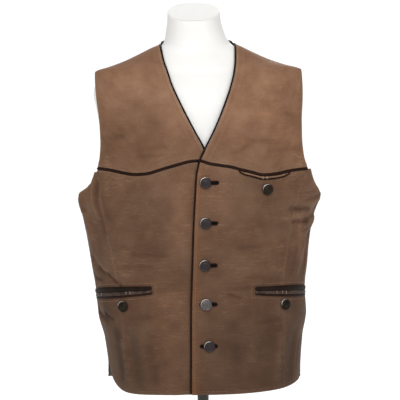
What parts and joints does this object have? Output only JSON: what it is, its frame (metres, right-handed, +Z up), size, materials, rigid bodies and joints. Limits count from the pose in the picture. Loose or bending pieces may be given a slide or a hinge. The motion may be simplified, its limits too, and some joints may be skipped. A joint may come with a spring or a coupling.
{
  "type": "leather vest on a limbless dress form with a stand",
  "caption": "Sleeveless V-neck leather vest with a curved yoke, welt pockets and a buttoned front, worn by a limbless dress form on a pole and round base.",
  "frame": {"origin": "middle of the round base's underside, on the floor", "axes": "+Z up along the pole, -Y out of the vest's front, +X to the wearer's left"},
  "size_m": [0.514, 0.3, 1.048],
  "materials": {
    "vest_leather": "matt brown nubuck, waxed and rubbed, darker to the sides",
    "dark_trim_leather": "smooth dark brown leather with a soft sheen",
    "button_metal": "dark antiqued gunmetal with brighter rims",
    "form_shell": "white, semi-gloss",
    "stand_metal": "black, satin"
  },
  "bodies": {
    "root": {"front_left_centre": "vest_leather", "front_left_side": "vest_leather", "front_left_yoke": "vest_leather", "front_right_centre": "vest_leather", "front_right_side": "vest_leather", "front_right_yoke": "vest_leather", "back": "vest_leather", "breast_pocket_welt": "vest_leather", "edge_piping_left": "dark_trim_leather", "edge_piping_right": "dark_trim_leather", "back_neck_piping": "dark_trim_leather", "yoke_band_left": "dark_trim_leather", "yoke_band_right": "dark_trim_leather", "breast_pocket_piping": "dark_trim_leather", "pocket_left_upper_welt": "dark_trim_leather", "pocket_left_lower_welt": "dark_trim_leather", "pocket_right_upper_welt": "dark_trim_leather", "pocket_right_lower_welt": "dark_trim_leather", "buttonhole_1": "dark_trim_leather", "buttonhole_2": "dark_trim_leather", "buttonhole_3": "dark_trim_leather", "buttonhole_4": "dark_trim_leather", "buttonhole_5": "dark_trim_leather", "front_button_1": "button_metal", "front_button_2": "button_metal", "front_button_3": "button_metal", "front_button_4": "button_metal", "front_button_5": "button_metal", "pocket_button_breast": "button_metal", "pocket_button_left": "button_metal", "pocket_button_right": "button_metal", "dress_form": "form_shell", "stand_pole": "stand_metal", "stand_collar": "stand_metal", "stand_base": "stand_metal"}
  },
  "joints": []
}
